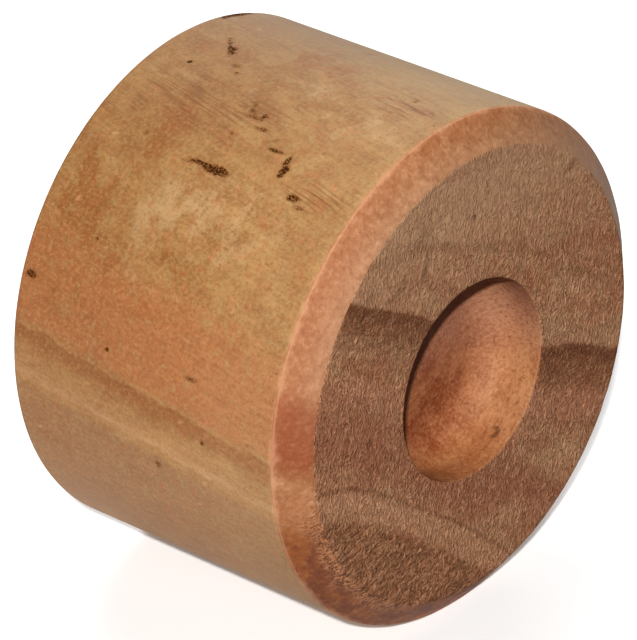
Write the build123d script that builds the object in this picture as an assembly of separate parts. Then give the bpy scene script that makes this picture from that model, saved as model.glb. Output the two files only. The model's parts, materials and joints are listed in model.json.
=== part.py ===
from build123d import *
import os

# A turned wooden mallet head with a blind socket bored in its front face.
# The whole head is one piece of timber: the grain runs along the turning axis.
# Frame: +Z up and Y along the turning axis, with the head lying on its side.
# The socket opens towards -Y. The origin is under the middle of the head,
# on the surface that the head lies on. All sizes are in millimetres.

# Driving dimensions of the head
head_diameter = 102.0
head_length = 70.0
chamfer_width = 5.9  # front chamfer, measured along the radius
chamfer_height = 5.0  # front chamfer, measured along the turning axis
rear_edge_radius = 0.8  # the rear edge is only eased

# Driving dimensions of the socket
socket_diameter = 40.0
socket_depth = 12.5
socket_floor_radius = 7.0  # broad round between the socket's wall and its floor
socket_drop = 0.8  # the socket was bored this far below the turning axis

# Sizes that follow from them
head_radius = head_diameter / 2
face_radius = head_radius - chamfer_width
socket_radius = socket_diameter / 2
front_y = -head_length / 2
rear_y = head_length / 2
axis_height = head_radius


def turned_blank():
    """The solid head as it leaves the lathe, before the socket is bored."""
    with BuildPart() as blank:
        with BuildSketch(Plane.XY):
            with BuildLine():
                Polyline(
                    (0, front_y),
                    (face_radius, front_y),
                    (head_radius, front_y + chamfer_height),
                    (head_radius, rear_y),
                    (0, rear_y),
                    close=True,
                )
            make_face()
            rear_corner = vertices().filter_by_position(
                Axis.X, head_radius, head_radius
            ).sort_by(Axis.Y)[-1]
            fillet(rear_corner, radius=rear_edge_radius)
        revolve(axis=Axis.Y)
    return Pos(0, 0, axis_height) * blank.part


def socket_cutter():
    """The shape of the hollow: a short straight wall, a broad round and a flat floor."""
    floor_y = front_y + socket_depth
    overshoot = 5.0  # the cutter starts this far in front of the face
    with BuildPart() as cutter:
        with BuildSketch(Plane.XY):
            with BuildLine():
                Polyline(
                    (0, front_y - overshoot),
                    (socket_radius, front_y - overshoot),
                    (socket_radius, floor_y),
                    (0, floor_y),
                    close=True,
                )
            make_face()
            floor_corner = vertices().filter_by_position(
                Axis.X, socket_radius, socket_radius
            ).sort_by(Axis.Y)[-1]
            fillet(floor_corner, radius=socket_floor_radius)
        revolve(axis=Axis.Y)
    return Pos(0, 0, axis_height - socket_drop) * cutter.part


def mallet_head():
    """The finished head: the turned blank with its socket bored."""
    head = turned_blank() - socket_cutter()
    head.label = "mallet_head"
    return head


nodes = {"mallet_head": mallet_head()}

os.makedirs("parts", exist_ok=True)
for name, solid in nodes.items():
    export_step(solid, f"parts/{name}.step")
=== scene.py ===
import json
import math

import bmesh
import bpy
import numpy as np
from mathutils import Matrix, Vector


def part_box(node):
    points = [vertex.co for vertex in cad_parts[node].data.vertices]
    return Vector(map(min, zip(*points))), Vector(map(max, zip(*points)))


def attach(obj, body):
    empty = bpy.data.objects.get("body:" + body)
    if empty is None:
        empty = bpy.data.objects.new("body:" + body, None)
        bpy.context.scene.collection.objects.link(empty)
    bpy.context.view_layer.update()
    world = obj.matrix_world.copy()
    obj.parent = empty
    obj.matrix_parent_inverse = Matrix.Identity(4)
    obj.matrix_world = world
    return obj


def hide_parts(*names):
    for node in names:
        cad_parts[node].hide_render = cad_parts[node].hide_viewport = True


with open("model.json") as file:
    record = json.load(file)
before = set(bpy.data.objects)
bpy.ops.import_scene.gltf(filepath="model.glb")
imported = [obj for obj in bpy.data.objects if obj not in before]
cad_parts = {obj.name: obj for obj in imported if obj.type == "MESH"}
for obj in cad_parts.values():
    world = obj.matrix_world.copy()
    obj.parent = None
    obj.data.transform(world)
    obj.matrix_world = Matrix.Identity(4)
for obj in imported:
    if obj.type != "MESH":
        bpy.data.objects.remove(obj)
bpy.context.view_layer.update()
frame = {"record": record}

# The scene shows a turned wooden mallet head that lies on its side. The visible piece is
# one closed mesh, turned ring by ring from the CAD head's own sizes, with the relief of the
# real surface in it: torn end grain, chips, pits, worn edges and a slightly uneven face.
# Every length in the script is in metres unless a name ends in _mm.

MM = 0.001

# ---------------------------------------------------------------- sizes, from the frame
low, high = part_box("mallet_head")
head_radius = (high.x - low.x) / 2
front_y = low.y
rear_y = high.y
axis_z = low.z + head_radius
centre = Vector((0, (front_y + rear_y) / 2, axis_z))

socket_mount = next(m for m in frame["record"]["mounts"] if m["name"] == "handle_socket")
socket_radius = socket_mount["dims"]["r_mm"] * MM
socket_wall = socket_mount["dims"]["length_mm"] * MM
socket_drop = axis_z - socket_mount["pos_m"][2]
socket_floor_round = 7.0 * MM
socket_depth = socket_wall + socket_floor_round
chamfer_width = 5.9 * MM
chamfer_height = 5.0 * MM
rear_edge_round = 0.8 * MM
face_radius = head_radius - chamfer_width

# The fibres run nearly along the turning axis: from front to rear they lean this much
# towards +X and +Z. Growth layers are drawn on the front face and carried along the fibres.
fibre_lean_x = 0.15
fibre_lean_z = 0.105

SIDE, CHAMFER, FACE, SOCKET, REAR = range(5)


# ---------------------------------------------------------------- noise for the mesh
def scrambled(ix, iy, iz, seed):
    """A repeatable number from -1 to 1 for each whole-numbered lattice point."""
    mixed = ix * 374761393 + iy * 668265263 + iz * 2147483647 + seed * 1274126177
    mixed = (mixed ^ (mixed >> 13)) * 1103515245
    mixed = mixed ^ (mixed >> 16)
    return (mixed & 0xFFFFFF) / float(0x7FFFFF) - 1.0


def smooth_noise(points, seed):
    """Value noise from -1 to 1 at points given in lattice units."""
    whole = np.floor(points).astype(np.int64)
    part = points - whole
    part = part * part * (3 - 2 * part)
    total = np.zeros(len(points))
    for corner in range(8):
        step = np.array([corner & 1, (corner >> 1) & 1, corner >> 2])
        weight = np.prod(np.where(step, part, 1 - part), axis=1)
        place = whole + step
        total += weight * scrambled(place[:, 0], place[:, 1], place[:, 2], seed)
    return total


def layered_noise(points, seed, octaves=3):
    """Smooth noise with finer and weaker copies of itself added."""
    total = np.zeros(len(points))
    strength = 1.0
    for octave in range(octaves):
        total += strength * smooth_noise(points * 2.0**octave, seed + octave)
        strength *= 0.5
    return total


def soft_step(value, start, end):
    """0 before start, 1 after end, smooth between them."""
    part = np.clip((value - start) / (end - start), 0, 1)
    return part * part * (3 - 2 * part)


# ---------------------------------------------------------------- the turned surface
def profile_rings():
    """Rings from the middle of the rear face, round the outside, to the socket's floor.
    Each is (radius, y, drop below the turning axis, columns, surface)."""
    rings = []

    def run(start, end, steps, columns, surface, drop=(0.0, 0.0)):
        """Rings evenly spaced along a straight stretch of the profile."""
        for step in range(steps):
            part = (step + 1) / steps
            radius = start[0] + (end[0] - start[0]) * part
            y = start[1] + (end[1] - start[1]) * part
            rings.append((radius, y, drop[0] + (drop[1] - drop[0]) * part, columns, surface))

    def bend(middle, size, first, last, steps, columns, surface, drop=0.0):
        """An arc of the profile about middle, from angle first to angle last."""
        for step in range(steps):
            angle = math.radians(first + (last - first) * (step + 1) / steps)
            radius = middle[0] + size * math.cos(angle)
            rings.append((radius, middle[1] + size * math.sin(angle), drop, columns, surface))

    full, half, quarter, eighth = 512, 256, 128, 64
    run((0, rear_y), (6 * MM, rear_y), 6, eighth, REAR)
    run((6 * MM, rear_y), (14 * MM, rear_y), 7, quarter, REAR)
    run((14 * MM, rear_y), (30 * MM, rear_y), 14, half, REAR)
    edge_start = head_radius - rear_edge_round
    run((30 * MM, rear_y), (edge_start, rear_y), 14, full, REAR)
    bend((edge_start, rear_y - rear_edge_round), rear_edge_round, 90, 0, 3, full, SIDE)

    # the two arrises of the chamfer are worn to a small flat
    outer_arris = 0.35 * MM
    inner_arris = 0.18 * MM
    slope = math.hypot(chamfer_width, chamfer_height)
    along = (chamfer_width / slope, chamfer_height / slope)
    outer_y = front_y + chamfer_height
    outer = (head_radius - along[0] * outer_arris, outer_y - along[1] * outer_arris)
    inner = (face_radius + along[0] * inner_arris, front_y + along[1] * inner_arris)
    run((head_radius, rear_y - rear_edge_round), (head_radius, outer_y + outer_arris), 75, full, SIDE)
    middle = ((head_radius + outer[0]) / 2, (outer_y + outer_arris + outer[1]) / 2)
    # the flat's middle stands a little proud, so the outer arris is rounded
    worn_edge_highlight = 0.1 * MM
    rings.append((middle[0] + worn_edge_highlight * 0.4, middle[1] - worn_edge_highlight * 0.2, 0.0, full, CHAMFER))
    rings.append((outer[0], outer[1], 0.0, full, CHAMFER))
    run(outer, inner, 11, full, CHAMFER)
    rings.append((face_radius - inner_arris, front_y, 0.0, full, FACE))

    mouth_bevel = 0.15 * MM
    mouth = socket_radius + mouth_bevel
    halving = 29 * MM
    part = (face_radius - halving) / (face_radius - mouth)
    drop_there = socket_drop * part
    run((face_radius - inner_arris, front_y), (halving, front_y), 34, full, FACE, (0.0, drop_there))
    run((halving, front_y), (mouth, front_y), 17, half, FACE, (drop_there, socket_drop))
    rings.append((socket_radius, front_y + mouth_bevel, socket_drop, half, FACE))
    wall_foot = front_y + socket_wall
    drops = (socket_drop, socket_drop)
    wall_top = (socket_radius, front_y + mouth_bevel)
    run(wall_top, (socket_radius, wall_foot), 11, half, SOCKET, drops)
    round_middle = (socket_radius - socket_floor_round, wall_foot)
    bend(round_middle, socket_floor_round, 0, 90, 22, half, SOCKET, socket_drop)
    floor_y = front_y + socket_depth
    run((round_middle[0], floor_y), (9 * MM, floor_y), 8, half, SOCKET, drops)
    run((9 * MM, floor_y), (4.5 * MM, floor_y), 9, quarter, SOCKET, drops)
    run((4.5 * MM, floor_y), (0, floor_y), 9, eighth, SOCKET, drops)
    return rings


def join_rings(before, after, faces, surfaces, surface):
    """Faces between two rings of vertex numbers. The second ring may have half or twice as
    many, or be a single point."""
    if len(before) == 1 or len(after) == 1:
        hub, rim = (before[0], after) if len(before) == 1 else (after[0], before)
        made = [(hub, rim[k], rim[(k + 1) % len(rim)]) for k in range(len(rim))]
    elif len(before) == len(after):
        n = len(before)
        made = [(before[k], before[(k + 1) % n], after[(k + 1) % n], after[k]) for k in range(n)]
    else:
        fine, coarse = (before, after) if len(before) > len(after) else (after, before)
        n = len(coarse)
        made = []
        for k in range(n):
            a, b, c = fine[2 * k], fine[2 * k + 1], fine[(2 * k + 2) % (2 * n)]
            made.append((a, b, coarse[k]))
            made.append((b, c, coarse[(k + 1) % n], coarse[k]))
    faces.extend(made)
    surfaces.extend([surface] * len(made))


def turned_mesh(name):
    """The ideal head as a closed mesh, with each face's surface as its material number."""
    rings = profile_rings()
    vertices = [(0.0, rear_y, axis_z)]
    faces, surfaces = [], []
    before = [0]
    for radius, y, drop, columns, surface in rings:
        if radius < 1e-9:
            after = [len(vertices)]
            vertices.append((0.0, y, axis_z - drop))
        else:
            after = list(range(len(vertices), len(vertices) + columns))
            for column in range(columns):
                angle = 2 * math.pi * column / columns
                x = radius * math.sin(angle)
                z = axis_z - drop + radius * math.cos(angle)
                vertices.append((x, y, z))
        join_rings(before, after, faces, surfaces, surface)
        before = after
    mesh = bpy.data.meshes.new(name)
    mesh.from_pydata(vertices, [], faces)
    mesh.polygons.foreach_set("material_index", surfaces)
    shape = bmesh.new()
    shape.from_mesh(mesh)
    bmesh.ops.recalc_face_normals(shape, faces=shape.faces)
    shape.to_mesh(mesh)
    shape.free()
    return mesh


# ---------------------------------------------------------------- marks on the side
# Torn chips, as (degrees from the top towards +X, y in mm, half width, half length, depth),
# with the last three in mm. They are small places where the fibres have torn out.
chips = [
    (-35.6, 2.4, 0.50, 1.8, 0.55),
    (-35.2, 6.2, 0.30, 1.8, 0.30),
    (-35.9, 9.6, 0.22, 1.0, 0.20),
    (-35.4, -16.2, 0.42, 0.9, 0.32),
    (-36.9, -18.6, 0.30, 0.9, 0.22),
    (-30.4, -10.7, 1.00, 0.45, 0.50),
    (-28.2, -10.0, 0.80, 0.40, 0.30),
    (-26.6, -6.2, 0.30, 1.3, 0.25),
    (-22.8, -0.4, 0.35, 1.1, 0.22),
    (-20.6, 3.2, 0.35, 1.6, 0.22),
    (-26.4, 4.9, 0.25, 0.4, 0.20),
    (-78.4, -9.4, 0.35, 1.0, 0.22),
    (-79.4, 11.3, 0.25, 0.30, 0.40),
    (-101.6, -1.0, 0.40, 0.45, 0.25),
    (-91.4, -12.9, 0.30, 0.35, 0.25),
    (-70.2, 32.3, 0.45, 0.8, 0.35),
    (-12.4, 25.8, 0.28, 0.30, 0.35),
    (-58.2, 19.8, 0.25, 0.30, 0.25),
    (1.6, -19.1, 0.50, 0.30, 0.2),
    (-3.4, 21.9, 0.60, 0.45, 0.28),
    (-8.6, 17.0, 0.45, 0.60, 0.2),
    (-33.4, 21.3, 0.30, 0.40, 0.2),
    (12.5, 33.8, 2.60, 0.45, 0.45),
    (118.0, 8.0, 0.45, 1.8, 0.4),
    (122.5, -12.0, 0.35, 1.2, 0.3),
    (74.0, 21.0, 0.40, 1.5, 0.3),
    (161.0, 15.0, 0.50, 1.3, 0.4),
    (-158.0, -6.0, 0.35, 1.0, 0.3),
]

# Soft patches of colour, as (degrees, y in mm, half width, half length, strength).
# A positive strength is a browner orange patch and a negative one is a paler tan patch.
patches = [
    (-57.0, -8.0, 8.0, 15.0, -0.2),
    (-44.0, -4.0, 8.0, 13.0, -0.6),
    (-47.0, 10.0, 8.0, 6.0, -0.8),
    (-59.0, -2.0, 3.0, 2.4, 0.9),
    (-56.5, 3.8, 3.2, 2.6, 1.1),
    (-66.0, -19.0, 5.0, 3.0, 0.6),
    (-52.0, 15.5, 11.0, 1.6, 0.8),
    (-53.0, 23.0, 9.0, 3.2, 1.2),
    (-49.0, 29.0, 9.0, 2.6, 1.2),
    (-31.0, 16.5, 7.0, 3.6, 1.2),
    (-25.0, 20.0, 3.0, 4.0, 0.6),
    (-28.0, -8.0, 4.0, 4.0, 0.6),
    (-34.0, -23.0, 2.5, 5.0, 0.9),
    (-60.0, -17.0, 3.5, 3.0, 0.7),
    (-51.0, -26.5, 8.0, 2.6, 0.7),
    (-43.0, -13.0, 3.0, 2.0, 0.5),
    (3.0, 1.5, 3.6, 6.0, 1.0),
    (6.0, 8.0, 3.0, 5.0, 0.7),
    (19.0, 5.0, 2.0, 1.8, 1.0),
    (-2.0, -20.0, 1.2, 10.0, 0.5),
    (-105.0, 26.0, 9.0, 8.0, 0.5),
    (-72.0, 27.0, 6.0, 6.0, 0.4),
    (-12.0, -20.0, 5.0, 9.0, -0.5),
    (-8.0, -2.0, 4.0, 10.0, -0.5),
    (-16.0, 24.0, 3.0, 8.0, -0.5),
    (60.0, -5.0, 9.0, 14.0, -0.7),
    (84.0, 16.0, 8.0, 7.0, 0.8),
    (112.0, -10.0, 10.0, 12.0, -0.6),
    (140.0, 12.0, 9.0, 8.0, 0.7),
    (165.0, -12.0, 9.0, 9.0, -0.5),
]

# Areas where growth rings show as fine lines, as (degrees, y in mm, half width, half length).
lined_areas = [
    (-21.0, 14.0, 7.0, 19.0),
    (-33.0, -21.0, 4.0, 8.0),
    (-2.0, -20.0, 5.0, 9.0),
    (78.0, 2.0, 9.0, 22.0),
    (150.0, -8.0, 9.0, 22.0),
]

# A line of small dark flecks that crosses the fibres near the top, as (degrees, y in mm).
fleck_line = [
    (-26.0, -6.0), (-20.0, 2.0), (-13.0, 13.0), (-7.5, 18.5), (-3.0, 22.5), (6.0, 29.5),
    (13.0, 34.0),
]


def turn_from(angles, angle):
    """How far each angle is from one angle, in degrees from -180 to 180."""
    return (angles - angle + 180) % 360 - 180


def around_mm(angles, angle):
    """How far each angle is from one place round the side, in mm along the surface."""
    return np.radians(turn_from(angles, angle)) * head_radius / MM


def chip_reach(angles, ys_mm, points_mm):
    """For each chip in turn, how far each point is from its middle in chip sizes."""
    ragged = 1 + 0.45 * layered_noise(points_mm * 1.3, seed=41)
    for angle, y, half_width, half_length, deepest in chips:
        reach = np.hypot(around_mm(angles, angle) / half_width, (ys_mm - y) / half_length)
        yield reach, ragged, deepest


def chip_depth(angles, ys_mm, points_mm):
    """How deep each point of the side is torn out, in mm. A chip is a cluster of pits."""
    depth = np.zeros(len(angles))
    pitted = 0.55 + 0.9 * smooth_noise(points_mm * 2.6, seed=43)
    pitted = np.clip(pitted, 0.1, 1)
    for reach, ragged, deepest in chip_reach(angles, ys_mm, points_mm):
        inside = 1 - soft_step(reach * ragged, 0.35, 1.25)
        depth = np.maximum(depth, inside * deepest * pitted)
    return depth


def chip_stain(angles, ys_mm, points_mm):
    """How brown the wood has gone at and round each chip, from 0 to 1."""
    stain = np.zeros(len(angles))
    for reach, ragged, deepest in chip_reach(angles, ys_mm, points_mm):
        near = 1 - soft_step(reach * (0.5 + 0.5 * ragged), 0.8, 2.9)
        stain = np.maximum(stain, near * min(1.0, deepest / 0.4))
    line_angles, line_ys = np.array(fleck_line).T
    offset = around_mm(angles, 0) - around_mm(np.interp(ys_mm, line_ys, line_angles), 0)
    beyond = (ys_mm < line_ys[0]) | (ys_mm > line_ys[-1])
    patchy = soft_step(layered_noise(points_mm / 1.7, seed=47), 0.0, 0.9)
    on_line = (1 - soft_step(np.abs(offset), 0.5, 2.8)) * patchy * np.where(beyond, 0, 0.8)
    return np.maximum(stain, on_line)


def patch_strength(angles, ys_mm, points_mm):
    """The soft patches of colour, with uneven edges."""
    total = np.zeros(len(angles))
    ragged = 1 + 0.55 * layered_noise(points_mm / 3.0, seed=57, octaves=5)
    for angle, y, half_width, half_length, strength in patches:
        reach = np.hypot(around_mm(angles, angle) / half_width, (ys_mm - y) / half_length)
        total += strength * (1 - soft_step(reach * ragged, 0.2, 1.4))
    return total


def lined_strength(angles, ys_mm, points_mm):
    """Where the fine growth lines show, from 0 to 1."""
    total = np.zeros(len(angles))
    ragged = 1 + 0.4 * layered_noise(points_mm / 4.0, seed=61)
    for angle, y, half_width, half_length in lined_areas:
        reach = np.hypot(around_mm(angles, angle) / half_width, (ys_mm - y) / half_length)
        total = np.maximum(total, 1 - soft_step(reach * ragged, 0.4, 1.3))
    return total


def refine_near_chips(mesh, rounds=2):
    """Splits the side's faces near each chip, so that its edge is drawn by real geometry."""
    shape = bmesh.new()
    shape.from_mesh(mesh)
    for _ in range(rounds):
        spots = [f.calc_center_median() for f in shape.faces]
        spots = np.array([(p.x, p.y, p.z) for p in spots])
        angles = np.degrees(np.arctan2(spots[:, 0], spots[:, 2] - axis_z))
        ys_mm = spots[:, 1] / MM
        near = np.zeros(len(spots), bool)
        for angle, y, half_width, half_length, _ in chips:
            across = np.abs(around_mm(angles, angle)) < half_width * 1.5 + 0.3
            near |= across & (np.abs(ys_mm - y) < half_length * 1.5 + 0.3)
        shape.faces.ensure_lookup_table()
        chosen = [f for f, close in zip(shape.faces, near) if close and f.material_index == SIDE]
        edges = list({e for f in chosen for e in f.edges})
        bmesh.ops.subdivide_edges(shape, edges=edges, cuts=1, use_grid_fill=True)
    bmesh.ops.triangulate(shape, faces=[f for f in shape.faces if len(f.verts) > 4])
    shape.to_mesh(mesh)
    shape.free()


# ---------------------------------------------------------------- relief of each surface
def side_relief(angles, ys_mm, points_mm):
    """How far the side lies below the ideal surface, in mm."""
    slow = np.column_stack([points_mm[:, 0] / 16, points_mm[:, 1] / 60, points_mm[:, 2] / 16])
    grain = np.column_stack([points_mm[:, 0] / 1.6, points_mm[:, 1] / 14, points_mm[:, 2] / 1.6])
    relief = 0.05 + 0.03 * layered_noise(slow, seed=11) + 0.012 * smooth_noise(grain, seed=12)
    return relief + chip_depth(angles, ys_mm, points_mm)


def end_grain_relief(points_mm, seed, coarse):
    """Rough end grain: short torn ridges, in mm below the ideal surface."""
    x, z = points_mm[:, 0], points_mm[:, 2]
    turned = np.radians(12.0)
    along = x * math.cos(turned) + z * math.sin(turned)
    across = z * math.cos(turned) - x * math.sin(turned)
    ridges = layered_noise(np.column_stack([along / 3.4, x * 0, across / 1.3]), seed, octaves=2)
    upright = layered_noise(np.column_stack([x / 1.3, x * 0, z / 3.6]), seed + 5, octaves=2)
    slow = layered_noise(np.column_stack([x / 17, x * 0, z / 17]), seed + 9)
    return 0.10 + 0.045 * slow + 0.05 * (coarse * ridges + (1 - coarse) * 0.7 * upright)


def relief_below_surface(where, angles, ys_mm, points_mm):
    """The whole head's relief, by surface, in mm below the ideal shape."""
    relief = np.full(len(angles), 0.03)
    side = where == SIDE
    relief[side] = side_relief(angles[side], ys_mm[side], points_mm[side])
    face = (where == FACE) | (where == REAR)
    x, z = points_mm[face, 0], points_mm[face, 2]
    coarse = soft_step(-z - 0.75 * x + 21.0, 0.0, 9.0)
    relief[face] = end_grain_relief(points_mm[face], seed=21, coarse=coarse)
    smooth = (where == CHAMFER) | (where == SOCKET)
    slow = layered_noise(points_mm[smooth] / 7, seed=31)
    relief[smooth] = 0.06 + 0.035 * slow
    return relief


def ragged_face_edge(points, angles, points_mm):
    """Moves the edge between face and chamfer unevenly, mostly inwards, and most at the lower
    left."""
    radius = np.hypot(points[:, 0], points[:, 2] - axis_z)
    near = 1 - soft_step(np.abs(radius - face_radius) / MM, 0.6, 2.0)
    near = near * (points[:, 1] < front_y + 1.5 * MM)
    lower_left = 1 - soft_step(np.abs(turn_from(angles, -135)), 20, 75)
    size = (0.06 + 0.34 * lower_left) * MM
    shift = near * size * (1 + layered_noise(points_mm / 1.1, seed=81)) / 2
    scale = np.where(radius > 1e-6, (radius - shift) / np.maximum(radius, 1e-6), 1)
    moved = points.copy()
    moved[:, 0] = points[:, 0] * scale
    moved[:, 2] = axis_z + (points[:, 2] - axis_z) * scale
    return moved


def feathered(points, angles, points_mm):
    """Where torn fibres run from the face on to the chamfer, at the lower left, from 0 to 1."""
    outside = (np.hypot(points[:, 0], points[:, 2] - axis_z) - face_radius) / MM
    ragged = 1 + 0.6 * layered_noise(points_mm / 1.5, seed=83)
    near = 1 - soft_step(outside * ragged, 0.2, 3.2)
    lower_left = 1 - soft_step(np.abs(turn_from(angles, -133)), 12, 42)
    return near * lower_left * (points[:, 1] < front_y + chamfer_height)


def knot_mark(points_mm):
    """A small dark curl low on the right of the socket's wall, from 0 to 1."""
    middle = np.array([10.9, -30.8, 33.4])
    offset = points_mm - middle
    away = np.linalg.norm(offset, axis=1)
    curl = 1 - soft_step(np.abs(away - 1.0), 0.25, 0.75)
    open_side = soft_step(offset[:, 1] - 0.4 * offset[:, 0], -0.6, 0.6)
    return curl * (1 - 0.8 * open_side)


# Dark marks on the front face, as (x, z, half width, half length, lean in degrees from upright
# towards +X, strength), with the lengths in mm.
face_marks = [
    (-14.2, 78.8, 0.7, 3.6, 18.0, 0.7),
    (-15.0, 85.5, 2.4, 3.2, 40.0, 0.35),
    (-0.4, 84.2, 0.45, 0.5, 0.0, 1.0),
    (3.5, 87.6, 0.35, 0.4, 0.0, 0.6),
    (-21.5, 77.0, 0.8, 3.0, 60.0, 0.5),
    (-31.8, 75.6, 0.9, 3.4, 40.0, 0.7),
    (24.0, 33.0, 0.7, 2.8, 30.0, 0.4),
    (36.6, 28.2, 0.6, 2.4, 35.0, 0.5),
    (-39.5, 36.0, 0.7, 2.2, 80.0, 0.5),
    (28.0, 84.6, 0.8, 3.2, 60.0, 0.6),
    (33.6, 80.0, 0.8, 2.4, 50.0, 0.5),
]


def face_stain(points_mm):
    """The dark marks on the front face, from 0 to 1."""
    stain = np.zeros(len(points_mm))
    ragged = 1 + 0.5 * layered_noise(points_mm / 1.4, seed=91)
    for x, z, half_width, half_length, lean, strength in face_marks:
        turned = math.radians(lean)
        right = points_mm[:, 0] - x
        up = points_mm[:, 2] - z
        across = (right * math.cos(turned) - up * math.sin(turned)) / half_width
        along = (right * math.sin(turned) + up * math.cos(turned)) / half_length
        reach = np.hypot(across, along) * ragged
        stain = np.maximum(stain, strength * (1 - soft_step(reach, 0.3, 1.6)))
    return stain


def add_floats(mesh, name, values):
    """Stores one number per vertex for the materials to read."""
    layer = mesh.attributes.new(name, "FLOAT", "POINT")
    layer.data.foreach_set("value", np.asarray(values, np.float32))


def vertex_vectors(mesh, key):
    """The places or normals of a mesh's vertices, one row for each."""
    values = np.zeros(len(mesh.vertices) * 3, np.float32)
    mesh.vertices.foreach_get(key, values)
    return values.reshape(-1, 3).astype(float)


def surface_of_vertices(mesh):
    """Which surface each vertex is on. One on an edge counts with the higher number."""
    where = np.zeros(len(mesh.vertices), int)
    for polygon in mesh.polygons:
        for vertex in polygon.vertices:
            where[vertex] = max(where[vertex], polygon.material_index)
    return where


def store_side_marks(mesh, where, angles, ys_mm, points_mm):
    """The side's chips, lined areas and soft patches, for its material to read."""
    side = where == SIDE
    torn = np.zeros(len(where))
    torn[side] = chip_stain(angles[side], ys_mm[side], points_mm[side])
    add_floats(mesh, "torn", torn)
    add_floats(mesh, "lined", np.where(side, lined_strength(angles, ys_mm, points_mm), 0.0))
    add_floats(mesh, "patch", np.where(side, patch_strength(angles, ys_mm, points_mm), 0.0))


def store_front_marks(mesh, where, points, angles, points_mm):
    """The worn arris with its painted highlight, the torn edge of the face, the knot and the face's
    dark marks.
    """
    arris = np.abs(np.hypot(points[:, 0], points[:, 2] - axis_z) - head_radius)
    arris = np.hypot(arris, points[:, 1] - front_y - chamfer_height) / MM
    uneven = 1 + 0.8 * layered_noise(points_mm / 2.5, seed=71)
    # a pale band along the outer arris: real wear, plus a painted highlight where the edge catches
    # the light
    add_floats(mesh, "worn_edge_highlight", 1 - soft_step(arris * uneven, 0.1, 0.5))
    add_floats(mesh, "feather", feathered(points, angles, points_mm))
    add_floats(mesh, "knot", knot_mark(points_mm))
    on_front = (where == FACE) & (points[:, 1] < front_y + 1 * MM)
    add_floats(mesh, "stain", np.where(on_front, face_stain(points_mm), 0.0))


def store_grain(mesh, ys_mm, points_mm):
    """Where the fibre through each vertex meets the front face, as x and z in mm. The middle
    number is the vertex's own y."""
    leaned_x = points_mm[:, 0] - fibre_lean_x * (ys_mm - front_y / MM)
    leaned_z = points_mm[:, 2] - fibre_lean_z * (ys_mm - front_y / MM)
    grain = mesh.attributes.new("grain", "FLOAT_VECTOR", "POINT")
    carried = np.column_stack([leaned_x, ys_mm, leaned_z]).astype(np.float32)
    grain.data.foreach_set("vector", carried.ravel())


def make_head():
    """The visible head: the turned mesh with its relief pressed in."""
    mesh = turned_mesh("mallet_head_wood")
    refine_near_chips(mesh)
    points = vertex_vectors(mesh, "co")
    normals = vertex_vectors(mesh, "normal")
    where = surface_of_vertices(mesh)
    angles = np.degrees(np.arctan2(points[:, 0], points[:, 2] - axis_z))
    points_mm = points / MM
    ys_mm = points_mm[:, 1]
    below = relief_below_surface(where, angles, ys_mm, points_mm)
    points = ragged_face_edge(points, angles, points_mm)
    mesh.vertices.foreach_set("co", (points - normals * below[:, None] * MM).ravel())
    store_side_marks(mesh, where, angles, ys_mm, points_mm)
    store_front_marks(mesh, where, points, angles, points_mm)
    store_grain(mesh, ys_mm, points_mm)
    mesh.shade_smooth()
    mesh.update()
    head = bpy.data.objects.new("mallet_head_wood", mesh)
    bpy.context.scene.collection.objects.link(head)
    return head


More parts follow.
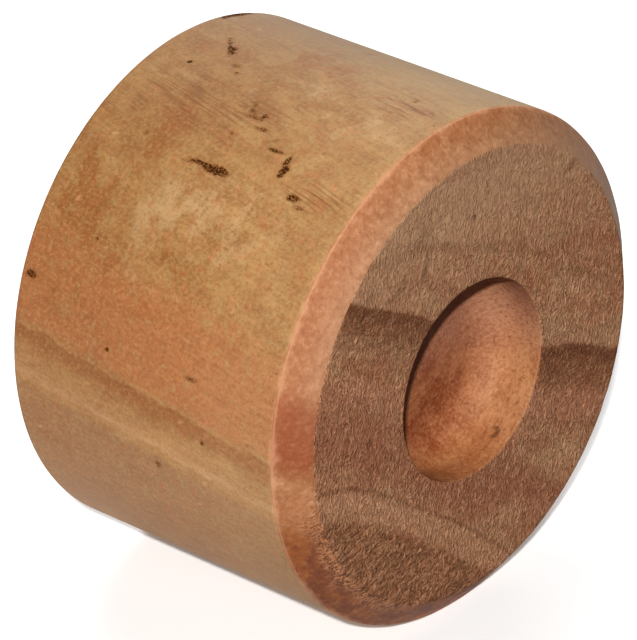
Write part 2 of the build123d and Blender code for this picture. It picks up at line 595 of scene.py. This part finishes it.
# ---------------------------------------------------------------- materials
class Nodes:
    """Short forms for building one material's node tree."""

    def __init__(self, name):
        self.material = bpy.data.materials.new(name)
        self.material.use_nodes = True
        self.tree = self.material.node_tree
        self.tree.nodes.clear()

    def add(self, kind, inputs=None, **settings):
        """A node with its settings, and inputs given by name or number as values or sockets."""
        node = self.tree.nodes.new(kind)
        for key, value in settings.items():
            setattr(node, key, value)
        for key, value in (inputs or {}).items():
            socket = node.inputs[key]
            if isinstance(value, bpy.types.NodeSocket):
                self.tree.links.new(value, socket)
            else:
                socket.default_value = value
        return node

    def attribute(self, name, output="Fac"):
        """What the mesh stores at each vertex under a name."""
        return self.add("ShaderNodeAttribute", attribute_name=name).outputs[output]

    def math(self, operation, a, b=0.0, clamp=False):
        inputs = {0: a, 1: b}
        return self.add("ShaderNodeMath", inputs, operation=operation, use_clamp=clamp).outputs[0]

    def vector_math(self, operation, a, b):
        return self.add("ShaderNodeVectorMath", {0: a, 1: b}, operation=operation).outputs[0]

    def scaled(self, vector, scale, turn=0.0):
        """The vector turned about Y by some degrees and then stretched."""
        inputs = {"Vector": vector, "Rotation": (0, math.radians(turn), 0)}
        turned = self.add("ShaderNodeMapping", inputs, vector_type="POINT").outputs[0]
        inputs = {"Vector": turned, "Scale": scale}
        return self.add("ShaderNodeMapping", inputs, vector_type="POINT").outputs[0]

    def noise(self, vector, scale=1.0, detail=3.0, roughness=0.55, distortion=0.0):
        inputs = {
            "Vector": vector, "Scale": scale, "Detail": detail,
            "Roughness": roughness, "Distortion": distortion,
        }
        return self.add("ShaderNodeTexNoise", inputs).outputs[0]

    def spread(self, value, start, end, low=0.0, high=1.0):
        """value from start to end taken smoothly to low to high."""
        inputs = {0: value, 1: start, 2: end, 3: low, 4: high}
        kind = "ShaderNodeMapRange"
        return self.add(kind, inputs, interpolation_type="SMOOTHSTEP", clamp=True).outputs[0]

    def mix(self, factor, a, b):
        """Two colours mixed by factor."""
        node = self.add("ShaderNodeMix", data_type="RGBA")
        for socket, value in zip((node.inputs[0], node.inputs[6], node.inputs[7]), (factor, a, b)):
            if isinstance(value, bpy.types.NodeSocket):
                self.tree.links.new(value, socket)
            else:
                socket.default_value = value
        return node.outputs[2]

    def tint(self, colour, mask, share, shade):
        """The colour with up to a share of another shade mixed in, by a mask from 0 to 1."""
        return self.mix(self.math("MULTIPLY", mask, share), colour, shade)

    def tint_from(self, colour, value, start, end, share, shade):
        """The colour with up to a share of another shade mixed in, as value nears the end."""
        return self.mix(self.spread(value, start, end, 0.0, share), colour, shade)

    def blend(self, factor, a, b):
        """Two numbers mixed by factor."""
        inputs = {0: factor, 2: a, 3: b}
        return self.add("ShaderNodeMix", inputs, data_type="FLOAT").outputs[0]

    def curve(self, value, points, start, end):
        """A smooth curve through points whose x runs from start to end and y stays in 0 to 100."""
        node = self.add("ShaderNodeFloatCurve")
        line = node.mapping.curves[0]
        placed = [((x - start) / (end - start), y / 100) for x, y in points]
        while len(line.points) < len(placed):
            line.points.new(0.5, 0.5)
        for point, (x, y) in zip(line.points, placed):
            point.location = (x, y)
        node.mapping.update()
        along = self.math("DIVIDE", self.math("SUBTRACT", value, start), end - start, clamp=True)
        self.tree.links.new(along, node.inputs["Value"])
        return self.math("MULTIPLY", node.outputs[0], 100.0)

    def finish(self, colour, roughness, height, height_mm, specular):
        """The wood shader with its bump, whose height is in units of height_mm."""
        inputs = {"Strength": 1.0, "Distance": height_mm * MM, "Height": height}
        bump = self.add("ShaderNodeBump", inputs).outputs[0]
        inputs = {
            "Base Color": colour, "Roughness": roughness, "Normal": bump,
            "Specular IOR Level": specular,
        }
        shader = self.add("ShaderNodeBsdfPrincipled", inputs)
        output = self.add("ShaderNodeOutputMaterial")
        self.tree.links.new(shader.outputs[0], output.inputs[0])
        return self.material


def srgb(red, green, blue):
    """A colour given as display values from 0 to 255."""
    def linear(value):
        value = value / 255
        return value / 12.92 if value <= 0.04045 else ((value + 0.055) / 1.055) ** 2.4
    return (linear(red), linear(green), linear(blue), 1.0)


# The growth layers cross the front face from upper left to lower right. Each is a line given
# as (x, z) in mm on that face, and it runs through the whole head along the fibres. The lines
# start and end at this distance from x = 0, because the fibres lean.
layer_reach = 66
dark_layer = [
    (-66, 88), (-44, 83.5), (-34, 79.3), (-20, 72.0), (0, 60.5), (20, 49.4), (32, 45.6),
    (43, 40.4), (66, 33),
]
ring_line = [
    (-66, 47), (-44, 43.8), (-35, 41.8), (-28, 38.3), (-17, 30.9), (-6, 23.0), (6, 13.6),
    (16, 6), (40, 0), (66, 0),
]
pale_layer = [(-66, 72), (-44, 64), (-28, 58), (-20, 54), (66, 20)]
reddish_layer = [
    (-66, 62), (-44, 57), (-28, 50), (-20, 45), (0, 28), (12, 25.5), (25, 15), (66, 0),
]
upper_layer = [
    (-66, 100), (-22, 99), (0, 97), (20, 93.5), (34, 86.5), (44, 79), (66, 62),
]
faint_layer = [
    (-66, 96), (-40, 88), (-22, 84.5), (-13, 83.0), (-1, 78.7), (12, 74.0), (24, 66.0),
    (44, 54), (66, 35),
]


class Layers:
    """The growth layers at a point of the wood, as masks from 0 to 1 for a material to use."""

    def __init__(self, nodes):
        grain = nodes.attribute("grain", "Vector")
        split = nodes.add("ShaderNodeSeparateXYZ", {0: grain})
        slow = nodes.noise(nodes.scaled(grain, (0.07, 0.02, 0.07)), detail=2.0)
        fine = nodes.noise(nodes.scaled(grain, (0.5, 0.06, 0.5)), detail=3.0)
        slow = nodes.math("MULTIPLY", nodes.math("SUBTRACT", slow, 0.5), 1.4)
        fine = nodes.math("MULTIPLY", nodes.math("SUBTRACT", fine, 0.5), 1.3)
        self.nodes = nodes
        self.grain = grain
        self.x = split.outputs[0]
        self.z = nodes.math("ADD", nodes.math("ADD", split.outputs[2], slow), fine)

    def above(self, line):
        """How far the point lies above a layer's line, in mm."""
        height = self.nodes.curve(self.x, line, -layer_reach, layer_reach)
        return self.nodes.math("SUBTRACT", self.z, height)

    def band(self, height, edges):
        """A mask that rises from edges[0] to edges[1] and falls from edges[2] to edges[3]."""
        rise = self.nodes.spread(height, edges[0], edges[1])
        fall = self.nodes.spread(height, edges[2], edges[3], 1.0, 0.0)
        return self.nodes.math("MULTIPLY", rise, fall)


def place_in_mm(nodes):
    """The object's own coordinates in mm."""
    place = nodes.add("ShaderNodeTexCoord").outputs["Object"]
    return nodes.scaled(place, (1000, 1000, 1000))


def wrinkles(nodes, place, scale, turn, width):
    """Short wavy cracks, 0 in the cracks and 1 between them."""
    field = nodes.noise(nodes.scaled(place, scale, turn), detail=2.5, roughness=0.6)
    off = nodes.math("ABSOLUTE", nodes.math("SUBTRACT", field, 0.5))
    return nodes.spread(off, 0.0, width)


def end_grain_texture(nodes, level_mask):
    """Torn fibres on sawn end grain: short marks that stand nearly upright in some layers and
    lie nearly level in others. Returns a height from 0 to 1."""
    place = place_in_mm(nodes)
    inputs = {"Vector": place, "Scale": 0.35, "Detail": 2.0}
    bent = nodes.add("ShaderNodeTexNoise", inputs).outputs[1]
    bent = nodes.vector_math("MULTIPLY", bent, (2.2, 0.0, 2.2))
    place = nodes.vector_math("ADD", place, bent)
    upright = wrinkles(nodes, place, (1.05, 0.5, 0.36), -12, 0.06)
    level = wrinkles(nodes, place, (0.26, 0.5, 1.10), 14, 0.07)
    torn = nodes.blend(level_mask, nodes.blend(0.20, upright, 1.0), level)
    tufts = nodes.noise(nodes.scaled(place, (1.7, 1.0, 0.9)), detail=3.0, roughness=0.65)
    tufts = nodes.spread(tufts, 0.30, 0.70)
    speck = nodes.noise(place, scale=2.3, detail=2.0, roughness=0.7)
    speck = nodes.spread(speck, 0.30, 0.70)
    return nodes.blend(0.30, nodes.blend(0.50, torn, tufts), speck)


def face_material():
    """The sawn front and rear faces: brown end grain with darker growth layers."""
    nodes = Nodes("sawn end grain")
    layers = Layers(nodes)
    over_dark = layers.above(dark_layer)
    over_ring = layers.above(ring_line)
    dark = layers.band(over_dark, (-10.5, -4.0, -0.8, 0.3))
    darkest = layers.band(over_dark, (-4.5, -1.5, -0.8, 0.2))
    above_dark = layers.band(over_dark, (-0.4, 0.8, 3.0, 7.0))
    thin = layers.band(over_ring, (-0.9, -0.3, 0.0, 0.7))
    pale = layers.band(over_ring, (-8.0, -6.0, -1.6, -0.4))
    lowest = layers.band(over_ring, (-60.0, -50.0, -8.5, -6.0))
    streaked = layers.band(over_dark, (-14.0, -8.0, -2.0, 0.0))
    pale_high = layers.band(layers.above(pale_layer), (-4.0, -1.5, 1.5, 4.5))
    reddish = layers.band(layers.above(reddish_layer), (-9.0, -4.0, 2.0, 5.5))
    upper = layers.band(layers.above(upper_layer), (-6.0, -1.0, 2.0, 7.0))
    faint = layers.band(layers.above(faint_layer), (-2.6, -0.8, -0.1, 0.9))

    # the torn fibres, calmer towards the top
    level_mask = nodes.math("MAXIMUM", lowest, nodes.math("MULTIPLY", streaked, 0.7))
    calm = nodes.spread(layers.z, 62.0, 90.0, 0.0, 0.45)
    torn = nodes.blend(calm, end_grain_texture(nodes, level_mask), 0.62)

    # the wood's own colour, with slow changes and bands along the layers
    cloud = nodes.noise(nodes.scaled(layers.grain, (0.10, 0.03, 0.10)), detail=4.0, roughness=0.6)
    colour = nodes.mix(nodes.spread(cloud, 0.35, 0.65), srgb(196, 148, 112), srgb(184, 127, 92))
    mottle = nodes.noise(nodes.scaled(layers.grain, (0.30, 0.05, 0.30)), detail=3.0, roughness=0.65)
    colour = nodes.tint_from(colour, mottle, 0.50, 0.72, 0.5, srgb(182, 116, 90))
    colour = nodes.tint_from(colour, mottle, 0.50, 0.28, 0.4, srgb(180, 143, 102))
    inputs = {0: nodes.math("MULTIPLY", layers.x, 0.02), 1: 0.0, 2: over_dark}
    across = nodes.add("ShaderNodeCombineXYZ", inputs).outputs[0]
    banding = nodes.noise(nodes.scaled(across, (1.0, 1.0, 0.20)), detail=3.0, roughness=0.6)
    colour = nodes.tint_from(colour, banding, 0.50, 0.68, 0.55, srgb(214, 166, 128))
    colour = nodes.tint_from(colour, banding, 0.50, 0.34, 0.55, srgb(170, 113, 82))
    colour = nodes.tint_from(colour, layers.z, 62.0, 92.0, 0.65, srgb(196, 160, 126))
    for mask, share, shade in (
        (reddish, 0.65, srgb(172, 112, 84)),
        (pale_high, 0.55, srgb(204, 144, 112)),
        (upper, 0.50, srgb(170, 126, 96)),
        (faint, 0.35, srgb(150, 108, 76)),
        (above_dark, 0.35, srgb(202, 158, 122)),
        (pale, 0.75, srgb(206, 154, 118)),
        (lowest, 0.65, srgb(182, 126, 90)),
        (dark, 0.70, srgb(142, 90, 58)),
        (darkest, 0.70, srgb(122, 74, 48)),
        (thin, 0.42, srgb(130, 84, 56)),
    ):
        colour = nodes.tint(colour, mask, share, shade)

    # dark marks, then painted shade in the cracks between the torn fibres, and dark pits
    colour = nodes.tint(colour, nodes.attribute("stain"), 0.7, srgb(96, 58, 34))
    deep = nodes.blend(level_mask, 0.72, 1.0)
    colour = nodes.tint(colour, nodes.math("SUBTRACT", 1.0, torn), deep, srgb(92, 56, 34))
    pits = nodes.noise(nodes.scaled(place_in_mm(nodes), (1.3, 0.8, 0.9)), detail=1.0)
    colour = nodes.tint_from(colour, pits, 0.66, 0.76, 0.6, srgb(92, 56, 36))
    # painted highlights on the tops of the torn fibres
    colour = nodes.tint_from(colour, torn, 0.55, 0.95, 0.25, srgb(222, 184, 150))
    return nodes.finish(colour, 0.86, torn, 0.45, specular=0.2)


def side_material():
    """The smooth turned side: tan and orange, with streaks along the fibres."""
    nodes = Nodes("turned side grain")
    layers = Layers(nodes)
    place = place_in_mm(nodes)
    wave = nodes.noise(nodes.scaled(place, (0.20, 0.13, 0.20)), detail=3.0)
    wave = nodes.math("MULTIPLY", nodes.math("SUBTRACT", wave, 0.5), 2.6)
    over_ring = nodes.math("ADD", layers.above(ring_line), wave)
    pale_streak = layers.band(over_ring, (-7.0, -5.2, -1.4, 0.6))
    pale_line = layers.band(over_ring, (-5.4, -4.5, -4.0, -2.6))
    below_streak = layers.band(over_ring, (-60.0, -18.0, -8.0, -5.5))
    brown_streak = layers.band(over_ring, (-0.6, 3.6, 4.8, 5.6))
    orange_zone = layers.band(over_ring, (5.0, 7.0, 20.0, 31.0))
    rightward = nodes.spread(layers.x, -16.0, 22.0)
    upward = nodes.spread(layers.z, 66.0, 84.0)
    grey_zone = nodes.math("MULTIPLY", rightward, upward)

    cloud = nodes.noise(nodes.scaled(layers.grain, (0.20, 0.12, 0.20)), detail=6.0, roughness=0.68)
    colour = nodes.mix(nodes.spread(cloud, 0.36, 0.64), srgb(163, 126, 78), srgb(143, 101, 57))
    for mask, share, shade in (
        (orange_zone, 0.88, srgb(160, 99, 58)),
        (below_streak, 0.75, srgb(140, 103, 71)),
        (grey_zone, 0.80, srgb(154, 129, 87)),
    ):
        colour = nodes.tint(colour, mask, share, shade)

    # soft patches, then mottling that is pinkish in some places and paler tan in others
    blotch = nodes.noise(nodes.scaled(place, (0.22, 0.30, 0.22)), detail=6.0, roughness=0.70)
    blotch = nodes.math("MULTIPLY", nodes.math("SUBTRACT", blotch, 0.5), 3.0)
    patch = nodes.math("ADD", nodes.attribute("patch"), blotch)
    colour = nodes.tint_from(colour, patch, 0.15, 1.2, 0.82, srgb(138, 84, 38))
    colour = nodes.tint_from(colour, patch, -0.15, -1.1, 0.85, srgb(178, 147, 106))
    pink = nodes.noise(nodes.scaled(place, (0.42, 0.55, 0.42)), detail=5.0, roughness=0.72)
    colour = nodes.tint_from(colour, pink, 0.50, 0.70, 0.60, srgb(172, 106, 72))
    colour = nodes.tint_from(colour, pink, 0.50, 0.30, 0.60, srgb(158, 130, 90))

    colour = nodes.tint(colour, pale_streak, 0.62, srgb(166, 123, 80))
    colour = nodes.tint(colour, pale_line, 0.38, srgb(188, 150, 112))
    colour = nodes.tint(colour, brown_streak, 0.80, srgb(132, 76, 33))

    # the side is greyer towards the front and darker towards the rear
    along = nodes.add("ShaderNodeSeparateXYZ", {0: place}).outputs[1]
    colour = nodes.tint_from(colour, along, 0.0, -28.0, 0.22, srgb(178, 144, 104))
    colour = nodes.tint_from(colour, along, -16.0, 24.0, 0.34, srgb(116, 76, 40))

    # fine grain: faint lines along the fibres, specks and small pores
    streaks = nodes.noise(nodes.scaled(layers.grain, (1.1, 0.06, 1.1)), detail=4.0, roughness=0.65)
    colour = nodes.tint_from(colour, streaks, 0.60, 0.35, 0.20, srgb(112, 70, 38))
    speck = nodes.noise(nodes.scaled(place, (1.5, 1.2, 1.5)), detail=4.0, roughness=0.75)
    colour = nodes.tint_from(colour, speck, 0.44, 0.74, 0.42, srgb(182, 146, 100))
    colour = nodes.tint_from(colour, speck, 0.50, 0.30, 0.50, srgb(120, 78, 44))
    pores = nodes.noise(nodes.scaled(layers.grain, (2.2, 0.7, 2.2)), detail=1.0)
    pores = nodes.spread(pores, 0.68, 0.80)
    colour = nodes.tint(colour, pores, 0.35, srgb(104, 62, 32))

    # growth rings cut lengthwise, as wavy lines nearly along the fibres
    rings = nodes.noise(nodes.scaled(layers.grain, (0.75, 0.035, 0.75)), detail=1.5)
    off_line = nodes.math("ABSOLUTE", nodes.math("SUBTRACT", rings, 0.5))
    lines = nodes.spread(off_line, 0.0, 0.06, 1.0, 0.0)
    lines = nodes.math("MULTIPLY", lines, nodes.attribute("lined"))
    colour = nodes.tint(colour, lines, 0.62, srgb(112, 68, 34))

    # chips and flecks: dark dots inside a brown halo
    torn = nodes.attribute("torn")
    dots = nodes.noise(place, scale=2.4, detail=2.0, roughness=0.65)
    dotted = nodes.math("MULTIPLY", torn, nodes.spread(dots, 0.38, 0.56, 0.26, 1.0))
    colour = nodes.tint_from(colour, torn, 0.05, 0.8, 0.60, srgb(116, 70, 32))
    colour = nodes.tint_from(colour, dotted, 0.36, 0.66, 0.92, srgb(58, 30, 9))
    # paler along the worn arris: a painted highlight on the worn edge
    colour = nodes.tint(colour, nodes.attribute("worn_edge_highlight"), 0.38, srgb(206, 156, 116))

    height = nodes.blend(0.5, streaks, speck)
    height = nodes.math("SUBTRACT", height, nodes.math("MULTIPLY", pores, 0.5))
    height = nodes.math("SUBTRACT", height, nodes.math("MULTIPLY", dotted, 0.8))
    rough = nodes.spread(speck, 0.3, 0.7, 0.52, 0.70)
    shine = nodes.spread(torn, 0.2, 0.8, 0.3, 0.03)
    return nodes.finish(colour, rough, height, 0.12, specular=shine)


def chamfer_material():
    """The chamfer: a smooth turned slope across the end of the fibres, redder than the side."""
    nodes = Nodes("turned chamfer")
    layers = Layers(nodes)
    place = place_in_mm(nodes)
    cloud = nodes.noise(nodes.scaled(layers.grain, (0.22, 0.06, 0.22)), detail=5.0, roughness=0.65)
    colour = nodes.mix(nodes.spread(cloud, 0.36, 0.64), srgb(167, 117, 81), srgb(151, 100, 63))
    over_ring = layers.above(ring_line)
    red = layers.band(over_ring, (2.0, 7.0, 16.0, 22.0))
    under = layers.band(over_ring, (-70.0, -50.0, -11.0, -4.0))
    pale = layers.band(over_ring, (-8.0, -5.5, -1.5, 0.6))
    pinkish = layers.band(over_ring, (12.0, 20.0, 40.0, 60.0))
    uneven = nodes.noise(nodes.scaled(place, (0.22, 0.3, 0.22)), detail=4.0, roughness=0.65)
    uneven = nodes.spread(uneven, 0.38, 0.60)
    for mask, share, shade in (
        (pinkish, 0.50, srgb(166, 110, 76)),
        (red, 0.92, srgb(140, 76, 46)),
        (under, 0.90, nodes.mix(uneven, srgb(140, 80, 36), srgb(102, 48, 22))),
        (pale, 0.50, srgb(160, 106, 70)),
    ):
        colour = nodes.tint(colour, mask, share, shade)
    streaks = nodes.noise(nodes.scaled(layers.grain, (1.1, 0.22, 1.1)), detail=4.0, roughness=0.65)
    colour = nodes.tint_from(colour, streaks, 0.50, 0.32, 0.25, srgb(128, 74, 46))
    colour = nodes.tint_from(colour, streaks, 0.48, 0.74, 0.22, srgb(196, 148, 112))

    # higher up it is paler beside the face and oranger beside the side, and greyer to the right
    along = nodes.add("ShaderNodeSeparateXYZ", {0: place}).outputs[1]
    face_y = front_y / MM
    side_y = (front_y + chamfer_height) / MM
    high_up = nodes.spread(layers.z, 50.0, 72.0)
    near_face = nodes.spread(along, face_y + 3.5, face_y, 0.0, 0.45)
    near_side = nodes.spread(along, side_y - 2.5, side_y, 0.0, 0.40)
    colour = nodes.tint(colour, near_face, high_up, srgb(172, 134, 104))
    colour = nodes.tint(colour, near_side, high_up, srgb(164, 102, 64))
    colour = nodes.tint_from(colour, layers.x, 4.0, 44.0, 0.50, srgb(166, 134, 110))

    # pale specks, fewer where the wood is red or brown
    speck = nodes.noise(nodes.scaled(place, (0.75, 0.75, 0.75)), detail=6.0, roughness=0.70)
    coloured = nodes.math("MULTIPLY", nodes.math("MAXIMUM", red, under), 0.75)
    plain = nodes.math("SUBTRACT", 1.0, coloured)
    light = nodes.spread(speck, 0.46, 0.74, 0.0, 0.55)
    colour = nodes.tint(colour, light, plain, srgb(196, 152, 118))
    colour = nodes.tint_from(colour, speck, 0.50, 0.28, 0.40, srgb(128, 74, 46))
    # paler along the worn arris: a painted highlight on the worn edge
    colour = nodes.tint(colour, nodes.attribute("worn_edge_highlight"), 0.38, srgb(210, 162, 126))

    # torn fibres that run on from the face at the lower left, with painted shade in their hollows and
    # painted highlights on their tops
    torn = end_grain_texture(nodes, 1.0)
    fibre_shade_and_highlight = nodes.mix(nodes.spread(torn, 0.25, 0.75), srgb(96, 54, 30), srgb(196, 138, 98))
    feather = nodes.attribute("feather")
    colour = nodes.tint(colour, feather, 0.85, fibre_shade_and_highlight)
    rough = nodes.spread(speck, 0.3, 0.7, 0.48, 0.66)
    height = nodes.blend(feather, speck, nodes.math("MULTIPLY", torn, 1.8))
    return nodes.finish(colour, rough, height, 0.30, specular=0.3)


def socket_material():
    """The bored socket: orange brown and mottled, with a darker floor."""
    nodes = Nodes("bored socket")
    place = place_in_mm(nodes)
    split = nodes.add("ShaderNodeSeparateXYZ", {0: place})
    deep = nodes.spread(split.outputs[1], front_y / MM + 7.0, front_y / MM + 12.0)
    cloud = nodes.noise(nodes.scaled(place, (0.17, 0.17, 0.17)), detail=5.0, roughness=0.65)
    wall = nodes.mix(nodes.spread(cloud, 0.36, 0.64), srgb(170, 118, 78), srgb(150, 93, 54))
    bed = nodes.mix(nodes.spread(cloud, 0.36, 0.64), srgb(156, 100, 66), srgb(122, 60, 31))
    colour = nodes.mix(deep, wall, bed)
    colour = nodes.tint_from(colour, split.outputs[2], 42.0, 58.0, 0.72, srgb(160, 115, 97))
    colour = nodes.tint_from(colour, split.outputs[0], 4.0, 16.0, 0.22, srgb(182, 142, 106))
    lines = nodes.scaled(place, (0.45, 1.0, 1.4), 28)
    lines = nodes.noise(lines, detail=4.0, roughness=0.70, distortion=0.6)
    colour = nodes.tint_from(colour, lines, 0.52, 0.32, 0.60, srgb(120, 68, 38))
    speck = nodes.noise(place, scale=1.5, detail=4.0, roughness=0.72)
    colour = nodes.tint_from(colour, speck, 0.44, 0.74, 0.50, srgb(192, 144, 108))
    colour = nodes.tint_from(colour, speck, 0.50, 0.28, 0.42, srgb(122, 70, 42))
    knot = nodes.attribute("knot")
    colour = nodes.tint_from(colour, knot, 0.0, 1.0, 0.7, srgb(86, 50, 24))
    height = nodes.blend(0.5, lines, speck)
    return nodes.finish(colour, 0.62, height, 0.25, specular=0.25)


def floor_material():
    """Matt and nearly white, with a faint glow so that it doesn't look grey."""
    nodes = Nodes("pale floor")
    inputs = {
        "Base Color": (0.80, 0.80, 0.80, 1.0), "Roughness": 0.9, "Specular IOR Level": 0.1,
        "Emission Color": (1.0, 1.0, 1.0, 1.0), "Emission Strength": 0.16,
    }
    shader = nodes.add("ShaderNodeBsdfPrincipled", inputs)
    output = nodes.add("ShaderNodeOutputMaterial")
    nodes.tree.links.new(shader.outputs[0], output.inputs[0])
    return nodes.material


# ---------------------------------------------------------------- the head
head = make_head()
end_grain = face_material()
head_materials = {
    SIDE: side_material(),
    CHAMFER: chamfer_material(),
    FACE: end_grain,
    SOCKET: socket_material(),
    REAR: end_grain,
}
for surface in sorted(head_materials):
    head.data.materials.append(head_materials[surface])
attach(head, "root")
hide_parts("mallet_head")


# ---------------------------------------------------------------- floor, lights, camera
def make_floor():
    """A plain pale round floor at the height that the head lies on. The part in front of the
    head sends no light back on to it, as if a dark card stood there, so the socket's shadow
    is deep."""
    size = 0.85
    steps = 96
    turn = math.asin(front_y / size)
    material = floor_material()
    for name, first, last in (
        ("floor_rear", turn, math.pi - turn),
        ("floor_front", math.pi - turn, 2 * math.pi + turn),
    ):
        rim = [first + (last - first) * step / steps for step in range(steps + 1)]
        corners = [(size * math.cos(a), size * math.sin(a), 0) for a in rim]
        mesh = bpy.data.meshes.new(name)
        mesh.from_pydata(corners, [], [tuple(range(len(corners)))])
        floor = bpy.data.objects.new(name, mesh)
        bpy.context.scene.collection.objects.link(floor)
        floor.data.materials.append(material)
        floor.visible_diffuse = name == "floor_rear"


def direction(azimuth, elevation):
    """The unit vector from the head towards a place seen at that azimuth and elevation."""
    a, e = math.radians(azimuth), math.radians(elevation)
    return Vector((math.sin(a) * math.cos(e), -math.cos(a) * math.cos(e), math.sin(e)))


def softbox(name, azimuth, elevation, distance, size, power):
    """A round area light that points at the middle of the head."""
    lamp = bpy.data.lights.new(name, "AREA")
    lamp.shape = "DISK"
    lamp.size = size
    lamp.energy = power
    holder = bpy.data.objects.new(name, lamp)
    towards = direction(azimuth, elevation)
    holder.location = centre + towards * distance
    holder.rotation_mode = "QUATERNION"
    holder.rotation_quaternion = towards.to_track_quat("Z", "Y")
    bpy.context.scene.collection.objects.link(holder)


def make_world():
    """Even fill light, seen as a plain white background."""
    world = bpy.data.worlds.new("studio")
    bpy.context.scene.world = world
    world.use_nodes = True
    tree = world.node_tree
    tree.nodes.clear()
    fill = tree.nodes.new("ShaderNodeBackground")
    fill.inputs["Color"].default_value = (1.0, 1.0, 1.0, 1.0)
    fill.inputs["Strength"].default_value = 0.05
    seen = tree.nodes.new("ShaderNodeBackground")
    seen.inputs["Color"].default_value = (1.0, 1.0, 1.0, 1.0)
    seen.inputs["Strength"].default_value = 1.0
    path = tree.nodes.new("ShaderNodeLightPath")
    chosen = tree.nodes.new("ShaderNodeMixShader")
    output = tree.nodes.new("ShaderNodeOutputWorld")
    tree.links.new(path.outputs["Is Camera Ray"], chosen.inputs[0])
    tree.links.new(fill.outputs[0], chosen.inputs[1])
    tree.links.new(seen.outputs[0], chosen.inputs[2])
    tree.links.new(chosen.outputs[0], output.inputs[0])


def make_camera():
    """A long lens, level, looking a little down at the front and the left side."""
    view_azimuth = -48.82
    view_elevation = 27.13
    distance = 20.04 * head_radius
    aim_left = 0.05 * head_radius
    data = bpy.data.cameras.new("camera")
    data.lens = 302.9
    data.sensor_width = 36.0
    data.clip_start = 0.05
    data.clip_end = 50.0
    camera = bpy.data.objects.new("camera", data)
    back = direction(view_azimuth, view_elevation)
    right = Vector((0, 0, 1)).cross(back).normalized()
    camera.location = centre + back * distance - right * aim_left
    camera.rotation_mode = "QUATERNION"
    camera.rotation_quaternion = back.to_track_quat("Z", "Y")
    bpy.context.scene.collection.objects.link(camera)
    bpy.context.scene.camera = camera


make_floor()
make_world()
softbox("key", azimuth=-51.0, elevation=31.8, distance=2.6, size=0.08, power=84)
softbox("overhead", azimuth=150, elevation=62, distance=1.3, size=1.0, power=8)
softbox("rear", azimuth=127, elevation=20, distance=1.3, size=0.8, power=4.5)
make_camera()
bpy.context.scene.view_settings.view_transform = "Standard"
bpy.context.scene.view_settings.look = "Medium High Contrast"
